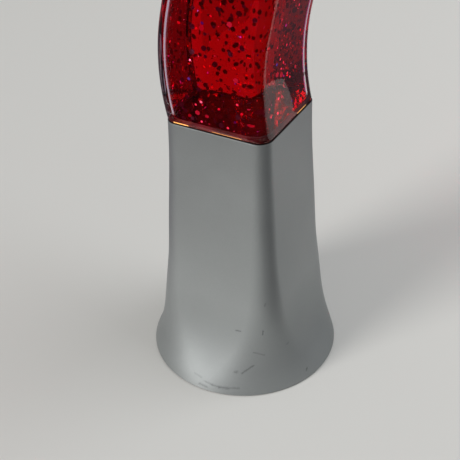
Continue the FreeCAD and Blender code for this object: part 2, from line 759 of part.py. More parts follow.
def build_floor():
    body = new_body("bottle_floor")
    spigot = new_sketch(body, "spigot_outline", lift=rim_height - size("spigot_length"))
    draw_rounded_square(spigot, spigot_half, size("spigot_corner"))
    pad(body, "spigot", spigot, size("spigot_length"))
    hollow = new_sketch(body, "spigot_hollow_outline", lift=rim_height - size("spigot_length"))
    hollow_half = spigot_half - size("spigot_wall")
    draw_rectangle(hollow, (-hollow_half, -hollow_half), (hollow_half, hollow_half))
    depth = size("spigot_length") - size("floor_drop")
    pocket(body, "spigot_hollow", hollow, depth, reverse=True)
    plug = new_sketch(body, "plug_outline", "XZ_Plane")
    draw_wave(plug, spigot_half, ZERO, size("floor_rise"))
    pad(body, "plug", plug, spigot_half * 2, middle=True)
    fillet_edges(body, "plug_edges", size("bore_corner"),
                 lambda box: upright(box) and box.ZMin > rim_height.value - TOUCH)


def build_lid():
    body = new_body("bottle_lid")
    collar = new_sketch(body, "collar_outline", lift=bottle_top)
    draw_rounded_square(collar, spigot_half, size("spigot_corner"))
    pad(body, "collar", collar, size("lid_rise"))
    hollow = new_sketch(body, "collar_hollow_outline", lift=bottle_top)
    hollow_half = spigot_half - size("spigot_wall")
    draw_rectangle(hollow, (-hollow_half, -hollow_half), (hollow_half, hollow_half))
    pocket(body, "collar_hollow", hollow, size("lid_rise"), reverse=True)
    plug = new_sketch(body, "lid_outline", "XZ_Plane")
    draw_wave(plug, spigot_half, bottle_height - size("lid_depth"), bottle_height)
    pad(body, "lid", plug, spigot_half * 2, middle=True)
    fillet_edges(body, "lid_edges", size("bore_corner"),
                 lambda box: upright(box) and box.ZMax < bottle_top.value + TOUCH)
    hole = new_sketch(body, "filler_outline", lift=bottle_top)
    draw_circle(hole, size("filler_radius"))
    pocket(body, "filler", hole, size("lid_depth"))


def build_filler():
    shank = size("filler_radius") - fit_play
    head_bottom = bottle_top + size("seal_section") * 2 + fit_play * 2
    head_top = head_bottom + size("plug_head_height")
    plug_bottom = bottle_top - size("plug_length")
    head = size("plug_head_radius")
    body = turned_piece("filler_plug", [
        (ZERO, plug_bottom), (shank, plug_bottom), (shank, head_bottom),
        (head, head_bottom), (head, head_top), (ZERO, head_top)])
    slot = new_sketch(body, "plug_slot_outline", lift=head_top)
    half_slot = size("plug_slot_width") / 2
    draw_rectangle(slot, (-head, -half_slot), (head, half_slot))
    pocket(body, "plug_slot", slot, size("plug_slot_depth"))

    seal = labelled(doc.addObject("Part::Torus", "filler_seal"), "filler_seal")
    bind(seal, "Radius1", size("filler_radius") + size("seal_section"))
    bind(seal, "Radius2", size("seal_section"))
    bind(seal, "Placement.Base.z", bottle_top + size("seal_section") + fit_play)


def flake_shapes():
    """Thin hexagons on a golden-angle spiral, each tilted its own way, inside the liquid."""
    radius = SIZES["flake_radius"]
    thickness = SIZES["flake_thickness"]
    low = SIZES["floor_rise"] + SIZES["flake_margin"]
    high = value_of(bottle_height) - SIZES["lid_depth"] - SIZES["air_gap"] - SIZES["flake_margin"]
    reach = bore_half.value - SIZES["flake_margin"]
    turns = [2 * math.pi * i / FLAKE_SIDES for i in range(FLAKE_SIDES + 1)]
    corners = [Vector(radius * math.cos(turn), radius * math.sin(turn), 0) for turn in turns]
    hexagon = Part.Face(Part.makePolygon(corners)).extrude(Vector(0, 0, thickness))
    flakes = []
    for i in range(FLAKE_COUNT):
        height = low + (high - low) * ((i + 0.5) / FLAKE_COUNT) ** FLAKE_SINK
        turn = GOLDEN_TURN * i
        share = (i * FLAKE_STRIDE % FLAKE_COUNT) / FLAKE_COUNT
        spread = reach * (FLAKE_CORE + (1 - FLAKE_CORE) * share)
        shift = wave_shift(Size(height, repr(height))).value
        place = Vector(shift + spread * math.cos(turn), spread * math.sin(turn),
                       rim_height.value + height)
        pitch, roll = FLAKE_TILTS
        flake = hexagon.copy()
        flake.Placement = Placement(place, Rotation(math.degrees(turn), pitch * i, roll * i))
        flakes.append(flake)
    return Part.makeCompound(flakes)


def build_liquid():
    flakes = labelled(doc.addObject("Part::Feature", "glitter_flakes"), "glitter_flakes")
    flakes.Shape = flake_shapes()
    fill = new_body("liquid_fill")
    outline = new_sketch(fill, "fill_outline", "XZ_Plane")
    low = size("floor_rise") + fit_play
    high = bottle_height - size("lid_depth") - size("air_gap")
    draw_wave(outline, spigot_half, low, high)
    pad(fill, "fill", outline, spigot_half * 2, middle=True)
    fillet_edges(fill, "fill_edges", size("bore_corner"), upright)
    return fill, flakes


def build_cap():
    body = new_body("top_cap")
    wall = size("cap_wall")
    step = bottle_top + size("lid_rise") + size("cap_step")
    mid = bottle_top + size("cap_mid_height")
    top = bottle_top + size("cap_height")
    mid_half = rim_half - size("cap_mid_taper")
    mid_corner = size("cap_mid_corner")
    top_half = rim_half - size("cap_top_taper")
    top_corner = size("cap_top_corner")
    sections = [
        ("cap_rim", bottle_top, rim_half, size("rim_corner")),
        ("cap_mid", mid, mid_half, mid_corner),
        ("cap_top", top, top_half, top_corner),
    ]
    outside = []
    for name, height, half, corner in sections:
        outline = new_sketch(body, f"{name}_outer", lift=height)
        draw_rounded_square(outline, half, corner)
        outside.append(outline)
    loft(body, "cap_outside", outside)
    hollows = [
        ("cap_step_inner", step, opening_half, opening_corner),
        ("cap_mid_inner", mid, mid_half - wall, mid_corner - wall),
        ("cap_top_inner", top - wall, top_half - wall, top_corner - wall),
    ]
    inside = []
    for name, height, half, corner in hollows:
        outline = new_sketch(body, name, lift=height)
        draw_rounded_square(outline, half, corner)
        inside.append(outline)
    loft(body, "cap_inside", inside, "PartDesign::SubtractiveLoft")
    mouth = new_sketch(body, "cap_mouth_outline", lift=bottle_top)
    draw_rounded_square(mouth, opening_half, opening_corner)
    pocket(body, "cap_mouth", mouth, size("lid_rise") + size("cap_step"), reverse=True)
    fillet_edges(body, "cap_edges", size("cap_round"),
                 lambda box: box.ZMin > top.value - TOUCH)


def cut_pair(name, base, tool):
    cut = labelled(doc.addObject("Part::Cut", name), name)
    cut.Base = base
    cut.Tool = tool


build_base_shell()
build_base_plate()
build_base_screws()
build_rubber_feet()
build_cord_grommet()
build_strap()
build_rivets()
build_nipple_and_nut()
build_holder_housing()
build_holder_core()
build_holder_contacts()
build_terminals()
build_bulb_base()
build_bulb_glass()
build_bulb_mount()
cut_pair("bottle_tube", *build_tube())
build_floor()
build_lid()
build_filler()
cut_pair("red_liquid", *build_liquid())
build_cap()
doc.recompute()

NODES = {
    "base_shell": 1, "base_plate": 1, "base_screws": SCREW_COUNT, "rubber_feet": PAD_COUNT,
    "cord_grommet": 1, "holder_bracket": 1, "bracket_rivets": PAIR, "holder_nipple": 1,
    "holder_nut": 1, "holder_cap": 1, "holder_barrel": 1, "holder_core": 1,
    "holder_screw_shell": 1, "holder_centre_contact": 1, "terminal_screws": PAIR,
    "bulb_tip": 1, "bulb_insulator": 1, "bulb_cap": 1, "bulb_glass": 1, "bulb_stem": 1,
    "bulb_lead_wires": PAIR, "bulb_filament": 1, "bottle_tube": 1, "bottle_floor": 1,
    "bottle_lid": 1, "filler_plug": 1, "filler_seal": 1, "red_liquid": 1,
    "glitter_flakes": FLAKE_COUNT, "top_cap": 1,
}

for thing in doc.Objects:
    if "Invalid" in thing.State or "Error" in thing.State:
        raise RuntimeError(f"{thing.Name} failed: {thing.State}")
os.makedirs("parts", exist_ok=True)
for name, count in NODES.items():
    piece = next(thing for thing in doc.Objects if thing.Label == name)
    shape = piece.Shape
    if shape.isNull() or not shape.isValid() or len(shape.Solids) != count:
        raise RuntimeError(f"{name} is not {count} valid solids: {len(shape.Solids)}")
    shape.exportStep(f"parts/{name}.step")
    print(f"{name}: {len(shape.Solids)} solids, {shape.Volume:.0f} mm3")
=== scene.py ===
import bmesh
import bpy
import json
import math
import random
from mathutils import Euler, Matrix, Vector
from mathutils.bvhtree import BVHTree


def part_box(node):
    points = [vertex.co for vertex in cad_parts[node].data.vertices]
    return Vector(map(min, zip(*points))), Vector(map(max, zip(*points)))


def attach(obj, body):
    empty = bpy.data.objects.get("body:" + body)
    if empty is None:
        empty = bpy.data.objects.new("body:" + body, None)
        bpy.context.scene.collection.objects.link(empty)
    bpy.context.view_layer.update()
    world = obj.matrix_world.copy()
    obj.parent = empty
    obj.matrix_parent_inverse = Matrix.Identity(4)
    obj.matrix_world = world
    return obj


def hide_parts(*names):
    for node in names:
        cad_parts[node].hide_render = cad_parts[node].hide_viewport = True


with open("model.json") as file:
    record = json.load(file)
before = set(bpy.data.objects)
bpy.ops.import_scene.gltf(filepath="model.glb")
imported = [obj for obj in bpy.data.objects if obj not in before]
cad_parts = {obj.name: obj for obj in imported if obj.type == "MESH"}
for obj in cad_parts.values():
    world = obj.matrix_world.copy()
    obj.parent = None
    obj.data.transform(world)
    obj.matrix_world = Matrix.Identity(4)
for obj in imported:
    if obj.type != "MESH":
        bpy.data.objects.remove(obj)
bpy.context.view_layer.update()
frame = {"nodes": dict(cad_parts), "record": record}
nodes = frame["nodes"]
print("frame loaded:", len(nodes), "nodes")


# Node helpers: each returns a node or the socket that carries its result.

def addNode(tree, kind, inputs=None, **settings):
    node = tree.nodes.new(kind)
    for name, value in settings.items():
        setattr(node, name, value)
    for name, value in (inputs or {}).items():
        if isinstance(value, bpy.types.NodeSocket):
            tree.links.new(value, node.inputs[name])
        else:
            node.inputs[name].default_value = value
    return node


def maths(tree, operation, first, second=0.0, third=0.0, clamp=False):
    values = {0: first, 1: second, 2: third}
    return addNode(tree, "ShaderNodeMath", values, operation=operation, use_clamp=clamp).outputs[0]


def vectors(tree, operation, first, second=(0.0, 0.0, 0.0)):
    node = addNode(tree, "ShaderNodeVectorMath", {0: first, 1: second}, operation=operation)
    return node.outputs["Value" if operation in ("DOT_PRODUCT", "LENGTH", "DISTANCE") else "Vector"]


def mixColour(tree, factor, first, second, blend="MIX"):
    node = addNode(tree, "ShaderNodeMix", data_type="RGBA", blend_type=blend)
    for index, value in ((0, factor), (6, first), (7, second)):
        if isinstance(value, bpy.types.NodeSocket):
            tree.links.new(value, node.inputs[index])
        else:
            node.inputs[index].default_value = value
    return node.outputs[2]


def spread(tree, value, low, high, toLow=0.0, toHigh=1.0):
    # carries low to toLow and high to toHigh, and holds what lies past them
    values = {"Value": value, "From Min": low, "From Max": high, "To Min": toLow, "To Max": toHigh}
    return addNode(tree, "ShaderNodeMapRange", values).outputs[0]


# the part of a noise's range where most of its values lie
noiseMiddle = (0.3, 0.7)


def noise(tree, point, scale, detail=2.0, roughness=0.5):
    values = {"Vector": point, "Scale": scale, "Detail": detail, "Roughness": roughness}
    return addNode(tree, "ShaderNodeTexNoise", values).outputs["Fac"]


def objectPoint(tree):
    return addNode(tree, "ShaderNodeTexCoord").outputs["Object"]


def ramp(tree, factor, stops, interpolation="LINEAR"):
    node = addNode(tree, "ShaderNodeValToRGB", {"Fac": factor})
    node.color_ramp.interpolation = interpolation
    points = node.color_ramp.elements
    while len(points) < len(stops):
        points.new(1.0)
    for point, (position, colour) in zip(points, stops):
        point.position = position
        point.color = colour
    return node.outputs["Color"]


def bump(tree, height, strength, distance):
    values = {"Height": height, "Strength": strength, "Distance": distance}
    return addNode(tree, "ShaderNodeBump", values).outputs["Normal"]


def startMaterial(name, **plain):
    material = bpy.data.materials.new(name)
    material.use_nodes = True
    shader = material.node_tree.nodes["Principled BSDF"]
    for socket, value in plain.items():
        shader.inputs[socket].default_value = value
    return material, material.node_tree, shader


def feed(tree, shader, **sockets):
    for name, socket in sockets.items():
        tree.links.new(socket, shader.inputs[name.replace("_", " ")])


# Effects that several materials share.

def startGroup(name, inputs, outputs):
    tree = bpy.data.node_groups.new(name, "ShaderNodeTree")
    for label, kind, value in inputs:
        socket = tree.interface.new_socket(name=label, in_out="INPUT",
                                           socket_type="NodeSocket" + kind)
        socket.default_value = value
    for label, kind in outputs:
        tree.interface.new_socket(name=label, in_out="OUTPUT", socket_type="NodeSocket" + kind)
    return tree, tree.nodes.new("NodeGroupInput").outputs, tree.nodes.new("NodeGroupOutput").inputs


def useGroup(tree, group, **inputs):
    values = {name.replace("_", " "): value for name, value in inputs.items()}
    node = tree.nodes.new("ShaderNodeGroup")
    node.node_tree = group
    for name, value in values.items():
        if isinstance(value, bpy.types.NodeSocket):
            tree.links.new(value, node.inputs[name])
        else:
            node.inputs[name].default_value = value
    return node.outputs


def makeGrain():
    # fine moulding grain and slow blotches, both from 0 to 1
    inputs = (("Scale", "Float", 900.0), ("Blotch Scale", "Float", 30.0))
    tree, given, put = startGroup("grain", inputs, (("Grain", "Float"), ("Blotch", "Float")))
    point = objectPoint(tree)
    fine = noise(tree, point, given["Scale"], detail=3.0, roughness=0.6)
    slow = noise(tree, point, given["Blotch Scale"], detail=4.0, roughness=0.55)
    tree.links.new(fine, put["Grain"])
    tree.links.new(slow, put["Blotch"])
    return tree


# how ragged a scuff is: scale of the noise, the part of it that counts, and the share of the
# width that it leaves
ragged = {"scale": 1500.0, "low": 0.35, "high": 0.65, "thin": 0.25, "thick": 1.3}


def makeScuffLine():
    # a short rubbed line between two points of the object, ragged at its edges
    inputs = (("Start", "Vector", (0.0, 0.0, 0.0)), ("End", "Vector", (0.0, 0.0, 0.01)),
              ("Width", "Float", 0.001))
    tree, given, put = startGroup("scuffLine", inputs, (("Mask", "Float"),))
    point = objectPoint(tree)
    along = vectors(tree, "SUBTRACT", given["End"], given["Start"])
    toPoint = vectors(tree, "SUBTRACT", point, given["Start"])
    share = maths(tree, "DIVIDE", vectors(tree, "DOT_PRODUCT", toPoint, along),
                  vectors(tree, "DOT_PRODUCT", along, along), clamp=True)
    scaled = addNode(tree, "ShaderNodeVectorMath", {0: along, "Scale": share}, operation="SCALE")
    reach = vectors(tree, "LENGTH", vectors(tree, "SUBTRACT", toPoint, scaled.outputs["Vector"]))
    grains = noise(tree, point, ragged["scale"], detail=3.0, roughness=0.7)
    wide = spread(tree, grains, ragged["low"], ragged["high"], ragged["thin"], ragged["thick"])
    width = maths(tree, "MULTIPLY", given["Width"], wide)
    near = spread(tree, maths(tree, "DIVIDE", reach, width), 0.0, 1.0, 1.0, 0.0)
    tree.links.new(near, put["Mask"])
    return tree


# how far a normal has to turn to count as an edge, and which part of the noise breaks the wear up
wear = {"turnedLow": 0.02, "turnedHigh": 0.16, "brokenLow": 0.42, "brokenHigh": 0.62}


def makeEdgeWear():
    # where an edge is rubbed: the bevelled normal leaves the true one there
    inputs = (("Reach", "Float", 0.0006), ("Breakup", "Float", 220.0))
    tree, given, put = startGroup("edgeWear", inputs, (("Mask", "Float"),))
    rounded = addNode(tree, "ShaderNodeBevel", {"Radius": given["Reach"]}, samples=6)
    normal = addNode(tree, "ShaderNodeNewGeometry").outputs["Normal"]
    facing = vectors(tree, "DOT_PRODUCT", rounded.outputs["Normal"], normal)
    turned = maths(tree, "SUBTRACT", 1.0, facing)
    turned = spread(tree, turned, wear["turnedLow"], wear["turnedHigh"])
    broken = noise(tree, objectPoint(tree), given["Breakup"], detail=3.0, roughness=0.6)
    broken = spread(tree, broken, wear["brokenLow"], wear["brokenHigh"])
    tree.links.new(maths(tree, "MULTIPLY", turned, broken), put["Mask"])
    return tree


grain = makeGrain()
scuffLine = makeScuffLine()
edgeWear = makeEdgeWear()
print("shared effects ready")


# Materials

paint = {
    "flake": (0.39, 0.41, 0.41, 1.0), "binder": (0.46, 0.48, 0.48, 1.0), "metallic": 0.88,
    "rubbed": (0.085, 0.090, 0.095, 1.0), "seamShade": (0.010, 0.006, 0.006, 1.0), "seamDepth": 0.0005,
    "seamShare": 0.2, "coat": 0.04, "coatRoughness": 0.22, "grainScale": 5200.0,
    "flakeRange": (0.35, 0.65), "blotchScale": 26.0, "glossy": 0.48, "dull": 0.56,
    "rubbedHeight": 0.055, "rubbedRoughness": 0.10, "flareDarkening": 0.29, "flareDarkeningLow": 0.015,
    "flareDarkeningHigh": 0.055, "bump": 0.12, "bumpDepth": 0.00005,
}
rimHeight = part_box("bottle_tube")[0].z
baseMesh = bmesh.new()
baseMesh.from_mesh(nodes["base_shell"].data)
baseSkin = BVHTree.FromBMesh(baseMesh)
baseMesh.free()

# marks on the flare: where each starts and ends, as degrees round from the front towards +X
# and height, then its half width and how dark it is
scuffs = (
    (21.8, 0.0393, 25.2, 0.0399, 0.0009, 0.60), (40.6, 0.0396, 41.0, 0.0422, 0.0008, 0.65),
    (34.2, 0.0278, 41.3, 0.0258, 0.0009, 0.38), (26.0, 0.0140, 33.8, 0.0193, 0.0010, 0.55),
    (21.6, 0.0142, 23.0, 0.0146, 0.0014, 0.45), (70.4, 0.0055, 71.0, 0.0060, 0.0011, 0.75),
    (58.6, 0.0277, 60.0, 0.0280, 0.0012, 0.30), (42.8, 0.0588, 43.4, 0.0605, 0.0010, 0.32),
    (-1.4, 0.0026, 4.0, 0.0022, 0.0013, 0.42), (2.0, 0.0048, 7.0, 0.0043, 0.0011, 0.35),
    (7.0, 0.0043, 12.0, 0.0040, 0.0012, 0.40), (12.0, 0.0040, 17.5, 0.0044, 0.0016, 0.50),
    (18.5, 0.0046, 24.5, 0.0052, 0.0012, 0.35), (-6.0, 0.0070, -1.0, 0.0060, 0.0012, 0.22),
)


def findOutside(turn, height):
    # the point of the base's outer skin at an angle and a height, met from well outside it
    outside = 0.2
    way = Vector((math.sin(math.radians(turn)), -math.cos(math.radians(turn)), 0.0))
    return baseSkin.ray_cast(way * outside + Vector((0, 0, height)), -way)[0]


def makeSilverPaint():
    material, tree, shader = startMaterial("silverPaint", Metallic=paint["metallic"])
    shader.inputs["Coat Weight"].default_value = paint["coat"]
    shader.inputs["Coat Roughness"].default_value = paint["coatRoughness"]
    pattern = useGroup(tree, grain, Scale=paint["grainScale"], Blotch_Scale=paint["blotchScale"])
    flakes = spread(tree, pattern["Grain"], *paint["flakeRange"])
    colour = mixColour(tree, flakes, paint["flake"], paint["binder"])
    for startTurn, startHeight, endTurn, endHeight, width, strength in scuffs:
        start, end = findOutside(startTurn, startHeight), findOutside(endTurn, endHeight)
        mark = useGroup(tree, scuffLine, Start=start, End=end, Width=width)["Mask"]
        mark = maths(tree, "MULTIPLY", mark, strength)
        colour = mixColour(tree, mark, colour, paint["rubbed"])
    # the flat rim under the bottle is painted dark: painted shade in the gap under the bottle
    height = addNode(tree, "ShaderNodeSeparateXYZ", {0: objectPoint(tree)}).outputs["Z"]
    depth = paint["seamDepth"]
    under = spread(tree, height, rimHeight - depth, rimHeight - paint["seamShare"] * depth)
    below = maths(tree, "LESS_THAN", height, rimHeight + depth)
    seamShade = maths(tree, "MULTIPLY", under, below, clamp=True)
    colour = mixColour(tree, seamShade, colour, paint["seamShade"])
    # the paint grows darker and duller towards the bottom, over the flare
    flareDarkening = spread(tree, height, paint["flareDarkeningLow"], paint["flareDarkeningHigh"], paint["flareDarkening"], 0.0)
    colour = mixColour(tree, flareDarkening, colour, paint["rubbed"])
    gloss = spread(tree, pattern["Blotch"], *noiseMiddle, paint["glossy"], paint["dull"])
    duller = spread(tree, height, 0.0, paint["rubbedHeight"], paint["rubbedRoughness"], 0.0)
    feed(tree, shader, Base_Color=colour, Roughness=maths(tree, "ADD", gloss, duller),
         Normal=bump(tree, pattern["Grain"], paint["bump"], paint["bumpDepth"]))
    return material


moulded = {
    "blotchScale": 45.0, "blotchRange": (0.3, 0.75), "blotches": 0.6, "lift": 1.7,
    "lightest": 0.006, "wear": 0.35, "worn": (0.16, 0.16, 0.16, 1.0), "reach": 0.0004,
    "breakup": 400.0, "glossier": 0.06, "duller": 0.08, "bump": 0.5,
}


def makeMoulded(name, colour, roughness, scale, height):
    # dull moulded plastic or rubber with its own grain
    material, tree, shader = startMaterial(name)
    pattern = useGroup(tree, grain, Scale=scale, Blotch_Scale=moulded["blotchScale"])
    lighter = [min(1.0, part * moulded["lift"] + moulded["lightest"]) for part in colour[:3]]
    blotches = spread(tree, pattern["Blotch"], *moulded["blotchRange"], 0.0, moulded["blotches"])
    base = mixColour(tree, blotches, colour, (*lighter, 1.0))
    worn = useGroup(tree, edgeWear, Reach=moulded["reach"], Breakup=moulded["breakup"])["Mask"]
    base = mixColour(tree, maths(tree, "MULTIPLY", worn, moulded["wear"]), base, moulded["worn"])
    glossy, dull = roughness - moulded["glossier"], roughness + moulded["duller"]
    feed(tree, shader, Base_Color=base,
         Roughness=spread(tree, pattern["Blotch"], *noiseMiddle, glossy, dull),
         Normal=bump(tree, pattern["Grain"], moulded["bump"], height))
    return material


metal = {
    "lineScale": 2400.0, "grainScale": 1500.0, "blotchScale": 110.0, "stainRange": (0.45, 0.75),
    "stain": 0.7, "glossier": 0.07, "duller": 0.12, "bump": 0.25, "bumpDepth": 0.00002,
}


def makeMetal(name, colour, stain, roughness, brushed):
    # plated or plain metal, with fine lines along Z stretched by brushed
    material, tree, shader = startMaterial(name, Metallic=1.0)
    stretched = addNode(tree, "ShaderNodeMapping",
                        {"Vector": objectPoint(tree), "Scale": (1.0, 1.0, brushed)})
    lines = noise(tree, stretched.outputs["Vector"], metal["lineScale"], detail=4.0, roughness=0.6)
    pattern = useGroup(tree, grain, Scale=metal["grainScale"], Blotch_Scale=metal["blotchScale"])
    stains = spread(tree, pattern["Blotch"], *metal["stainRange"], 0.0, metal["stain"])
    glossy, dull = roughness - metal["glossier"], roughness + metal["duller"]
    feed(tree, shader, Base_Color=mixColour(tree, stains, colour, stain),
         Roughness=spread(tree, lines, *noiseMiddle, glossy, dull),
         Normal=bump(tree, lines, metal["bump"], metal["bumpDepth"]))
    return material


ceramic = {
    "glaze": (0.80, 0.78, 0.72, 1.0), "stain": (0.62, 0.58, 0.50, 1.0), "grainScale": 1400.0,
    "blotchScale": 180.0, "stainRange": (0.4, 0.8), "glossy": 0.55, "dull": 0.75,
    "bump": 0.4, "bumpDepth": 0.00006,
}


def makeCeramic():
    material, tree, shader = startMaterial("whiteCeramic")
    pattern = useGroup(tree, grain, Scale=ceramic["grainScale"],
                       Blotch_Scale=ceramic["blotchScale"])
    stains = spread(tree, pattern["Blotch"], *ceramic["stainRange"])
    feed(tree, shader, Base_Color=mixColour(tree, stains, ceramic["glaze"], ceramic["stain"]),
         Roughness=spread(tree, pattern["Grain"], *noiseMiddle, ceramic["glossy"], ceramic["dull"]),
         Normal=bump(tree, pattern["Grain"], ceramic["bump"], ceramic["bumpDepth"]))
    return material


clear = {
    "tint": (0.985, 0.988, 0.985, 1.0), "shadow": (0.93, 0.93, 0.93, 1.0), "ior": 1.49,
    "haze": 0.004, "smear": 0.02, "smearRange": (0.5, 0.8), "walls": 9.0, "grainScale": 140.0,
    "blotchScale": 38.0, "bump": 0.10, "bumpDepth": 0.0004,
}
liquid = {
    "ior": 1.33, "tint": (1.0, 0.97, 0.97, 1.0), "keeps": (0.966, 0.0, 0.60, 1.0), "density": 260.0,
}


def letLampsThrough(tree, surface, tint):
    # rays from the lamps pass glass straight, so that what it holds is lit
    # and a ray caught between many walls leaves straight
    straight = addNode(tree, "ShaderNodeBsdfTransparent", {"Color": tint})
    light = addNode(tree, "ShaderNodeLightPath").outputs
    caught = maths(tree, "GREATER_THAN", light["Transmission Depth"], clear["walls"])
    passes = maths(tree, "MAXIMUM", light["Is Shadow Ray"], caught)
    mixed = addNode(tree, "ShaderNodeMixShader", {0: passes, 1: surface, 2: straight.outputs[0]})
    output = tree.nodes["Material Output"]
    tree.links.new(mixed.outputs[0], output.inputs["Surface"])
    return output


def makeClearAcrylic(name, ior, tint=clear["tint"]):
    material, tree, shader = startMaterial(name, IOR=ior)
    shader.inputs["Transmission Weight"].default_value = 1.0
    shader.inputs["Base Color"].default_value = tint
    pattern = useGroup(tree, grain, Scale=clear["grainScale"], Blotch_Scale=clear["blotchScale"])
    smear = spread(tree, pattern["Blotch"], *clear["smearRange"], clear["haze"], clear["smear"])
    feed(tree, shader, Roughness=smear,
         Normal=bump(tree, pattern["Blotch"], clear["bump"], clear["bumpDepth"]))
    letLampsThrough(tree, shader.outputs[0], clear["shadow"])
    return material


def makeRedLiquid(name, ior):
    material, tree, shader = startMaterial(name, IOR=ior, Roughness=0.0)
    shader.inputs["Transmission Weight"].default_value = 1.0
    shader.inputs["Base Color"].default_value = liquid["tint"]
    output = letLampsThrough(tree, shader.outputs[0], (1.0, 1.0, 1.0, 1.0))
    inside = addNode(tree, "ShaderNodeVolumeAbsorption",
                     {"Color": liquid["keeps"], "Density": liquid["density"]})
    tree.links.new(inside.outputs[0], output.inputs["Volume"])
    return material


bulbGlass = {
    "low": (0.90, 0.91, 0.92, 1.0), "high": (0.97, 0.97, 0.97, 1.0), "shadow": (0.9, 0.9, 0.9, 1.0),
    "roughness": 0.06, "ior": 1.5, "grainScale": 300.0, "blotchScale": 60.0,
    "bump": 0.05, "bumpDepth": 0.0002,
}


def makeBulbGlass():
    material, tree, shader = startMaterial("bulbGlass", Roughness=bulbGlass["roughness"],
                                           IOR=bulbGlass["ior"])
    shader.inputs["Transmission Weight"].default_value = 1.0
    pattern = useGroup(tree, grain, Scale=bulbGlass["grainScale"],
                       Blotch_Scale=bulbGlass["blotchScale"])
    feed(tree, shader,
         Base_Color=mixColour(tree, pattern["Blotch"], bulbGlass["low"], bulbGlass["high"]),
         Normal=bump(tree, pattern["Grain"], bulbGlass["bump"], bulbGlass["bumpDepth"]))
    letLampsThrough(tree, shader.outputs[0], bulbGlass["shadow"])
    return material


# tone of a flake, from the ones turned away to the ones that flash: its colour and its glow.
# The dark colours are painted shade, the bright ones a painted flash, and the glow is painted
# sparkle that every flake gives off though none is a lamp
foil = {
    "shadeAndFlashColours": (
        (0.00, (0.006, 0.001, 0.002, 1.0)), (0.52, (0.05, 0.004, 0.008, 1.0)),
        (0.64, (0.45, 0.03, 0.05, 1.0)), (0.74, (0.85, 0.14, 0.20, 1.0)),
        (0.88, (1.0, 0.36, 0.46, 1.0)), (0.91, (0.75, 0.06, 0.60, 1.0)),
        (0.95, (0.14, 0.09, 0.60, 1.0)),
    ),
    "paintedSparkles": (
        (0.00, (0.045, 0.0, 0.004, 1.0)), (0.64, (0.30, 0.0, 0.01, 1.0)),
        (0.74, (0.9, 0.02, 0.06, 1.0)), (0.88, (1.0, 0.16, 0.26, 1.0)),
        (0.91, (0.26, 0.01, 0.22, 1.0)), (0.95, (0.04, 0.02, 0.18, 1.0)),
    ),
    "paintedFlashFrom": 0.74, "glow": 1.1, "metallic": 0.9, "glossy": 0.3, "dull": 0.5,
    "shaded": (0.7, 0.7, 0.7, 1.0), "grainScale": 1800.0, "blotchScale": 600.0,
}


def makeGlitterFoil():
    material, tree, shader = startMaterial("glitterFoil", Metallic=foil["metallic"])
    tone = addNode(tree, "ShaderNodeAttribute", attribute_name="tone").outputs["Fac"]
    pattern = useGroup(tree, grain, Scale=foil["grainScale"], Blotch_Scale=foil["blotchScale"])
    blotches = spread(tree, pattern["Blotch"], *noiseMiddle)
    shade = mixColour(tree, blotches, foil["shaded"], (1.0, 1.0, 1.0, 1.0))
    colour = ramp(tree, tone, foil["shadeAndFlashColours"], "CONSTANT")
    # painted sparkle: a glow on every flake
    glow = ramp(tree, tone, foil["paintedSparkles"], "CONSTANT")
    feed(tree, shader, Base_Color=mixColour(tree, 1.0, colour, shade, "MULTIPLY"),
         Emission_Color=mixColour(tree, 1.0, glow, shade, "MULTIPLY"),
         Roughness=spread(tree, pattern["Grain"], *noiseMiddle, foil["glossy"], foil["dull"]))
    shader.inputs["Emission Strength"].default_value = foil["glow"]
    return material


finishes = {
    "silver_paint": makeSilverPaint(),
    "black_plastic": makeMoulded("blackPlastic", (0.020, 0.020, 0.021, 1.0), roughness=0.48,
                                 scale=1300.0, height=0.00006),
    "black_rubber": makeMoulded("blackRubber", (0.016, 0.016, 0.016, 1.0), roughness=0.78,
                                scale=2600.0, height=0.00008),
    "zinc_steel": makeMetal("zincSteel", (0.60, 0.61, 0.62, 1.0), (0.44, 0.43, 0.41, 1.0),
                            roughness=0.32, brushed=0.04),
    "brass": makeMetal("brass", (0.78, 0.58, 0.27, 1.0), (0.52, 0.36, 0.15, 1.0),
                       roughness=0.28, brushed=0.06),
    "white_ceramic": makeCeramic(),
    "dark_glass": makeMoulded("darkGlass", (0.012, 0.012, 0.016, 1.0), roughness=0.14,
                              scale=400.0, height=0.00002),
    "bulb_glass": makeBulbGlass(),
    "clear_acrylic": makeClearAcrylic("clearAcrylic", clear["ior"]),
    "red_liquid": makeRedLiquid("redLiquid", ior=1.0),
    "stained_acrylic": makeClearAcrylic("stainedAcrylic", clear["ior"], (0.48, 0.10, 0.11, 1.0)),
    "glitter_foil": makeGlitterFoil(),
}

# seam is painted shade at the joint; caught and glow paint the glints' light
bottleFoot = {
    "tint": (0.72, 0.26, 0.20, 1.0), "seamShade": (0.020, 0.0, 0.002, 1.0), "rise": 0.0005,
    "seamShare": 0.4, "caught": (1.0, 0.46, 0.13, 1.0), "glow": 2.4, "roughness": 0.08,
    "shadow": (0.8, 0.6, 0.5, 1.0),
}
# painted glints that glow in the foot though no lamp is in it: start, end, height above the rim,
# half width and strength
paintedGlints = (
    ((-0.0230, -0.0299), (-0.0150, -0.0299), 0.00090, 0.00080, 1.0),
    ((-0.0005, -0.0299), (0.0160, -0.0299), 0.00095, 0.00045, 0.45),
    ((0.0299, 0.0070), (0.0299, 0.0165), 0.00090, 0.00070, 0.85),
)


